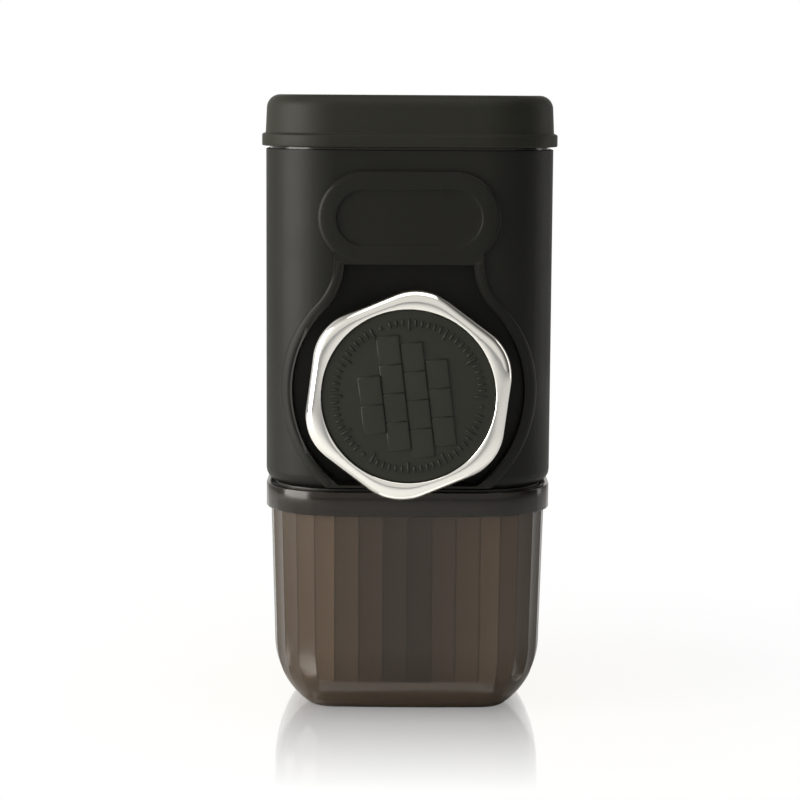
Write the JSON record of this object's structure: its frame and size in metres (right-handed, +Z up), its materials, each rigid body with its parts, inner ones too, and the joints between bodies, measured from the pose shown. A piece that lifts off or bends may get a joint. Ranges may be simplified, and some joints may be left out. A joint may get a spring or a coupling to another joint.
{
  "type": "handheld manual espresso maker",
  "caption": "Slim hand-pumped travel coffee maker: black housing with a lift-off lid, a round twist-and-pump knob in a front recess, and a smoky clear cup below.",
  "frame": {"origin": "centre of the cup's foot, on the surface that the object stands on", "axes": "+Z up towards the lid, -Y out of the front where the knob is, +X to the right seen from the front"},
  "size_m": [0.0786, 0.0771, 0.165],
  "materials": {
    "black_plastic": "fine matt moulded",
    "inner_plastic": "satin moulded",
    "soft_black": "soft matt",
    "smoke_plastic": "clear smoky gloss",
    "chrome": "polished",
    "steel": "brushed",
    "seal_rubber": "matt"
  },
  "bodies": {
    "housing": {"housing_shell": "black_plastic", "water_tank": "smoke_plastic", "tank_strainer": "steel", "tank_port_seal": "seal_rubber", "base_plate": "inner_plastic", "base_screws": "steel", "cup_seal": "seal_rubber", "lock_ring": "inner_plastic", "lock_ring_screws": "steel", "pump_cylinder": "inner_plastic", "cylinder_cap": "inner_plastic", "pump_screws": "steel", "valve_block": "inner_plastic", "valve_block_screws": "steel", "inlet_valve": "seal_rubber", "outlet_valve": "seal_rubber", "group_head": "inner_plastic", "head_screws": "steel", "dispersion_screen": "steel", "screen_screw": "steel", "group_gasket": "seal_rubber", "return_spring": "steel"},
    "lid": {"lid_cover": "black_plastic", "lid_seal": "seal_rubber"},
    "plunger": {"piston_rod": "steel", "piston_head": "inner_plastic", "piston_seal": "seal_rubber", "rod_screw": "steel"},
    "knob": {"knob_ring": "chrome", "knob_disc": "soft_black", "knob_sleeve": "inner_plastic", "knob_screws": "steel"},
    "brew_cap": {"brew_cap": "inner_plastic", "filter_basket": "steel", "spout_nozzle": "inner_plastic"},
    "cup": {"cup": "smoke_plastic"}
  },
  "joints": [
    {"name": "lid_lift", "type": "slide", "parent": "housing", "child": "lid", "axis": [0, 0, 1], "range_m": [0, 0.04]},
    {"name": "plunger_stroke", "type": "slide", "parent": "housing", "child": "plunger", "axis": [0, -1, 0], "range_m": [0, 0.022], "deforming": ["return_spring"]},
    {"name": "knob_twist", "type": "hinge", "parent": "plunger", "child": "knob", "pos_m": [0, -0.038, 0.0878], "axis": [0, -1, 0], "range_deg": [-45, 0]},
    {"name": "brew_cap_twist", "type": "hinge", "parent": "housing", "child": "brew_cap", "pos_m": [0, 0, 0.048], "axis": [0, 0, 1], "range_deg": [0, 60]},
    {"name": "cup_pull", "type": "slide", "parent": "housing", "child": "cup", "axis": [0, 0, -1], "range_m": [0, 0.066]}
  ]
}
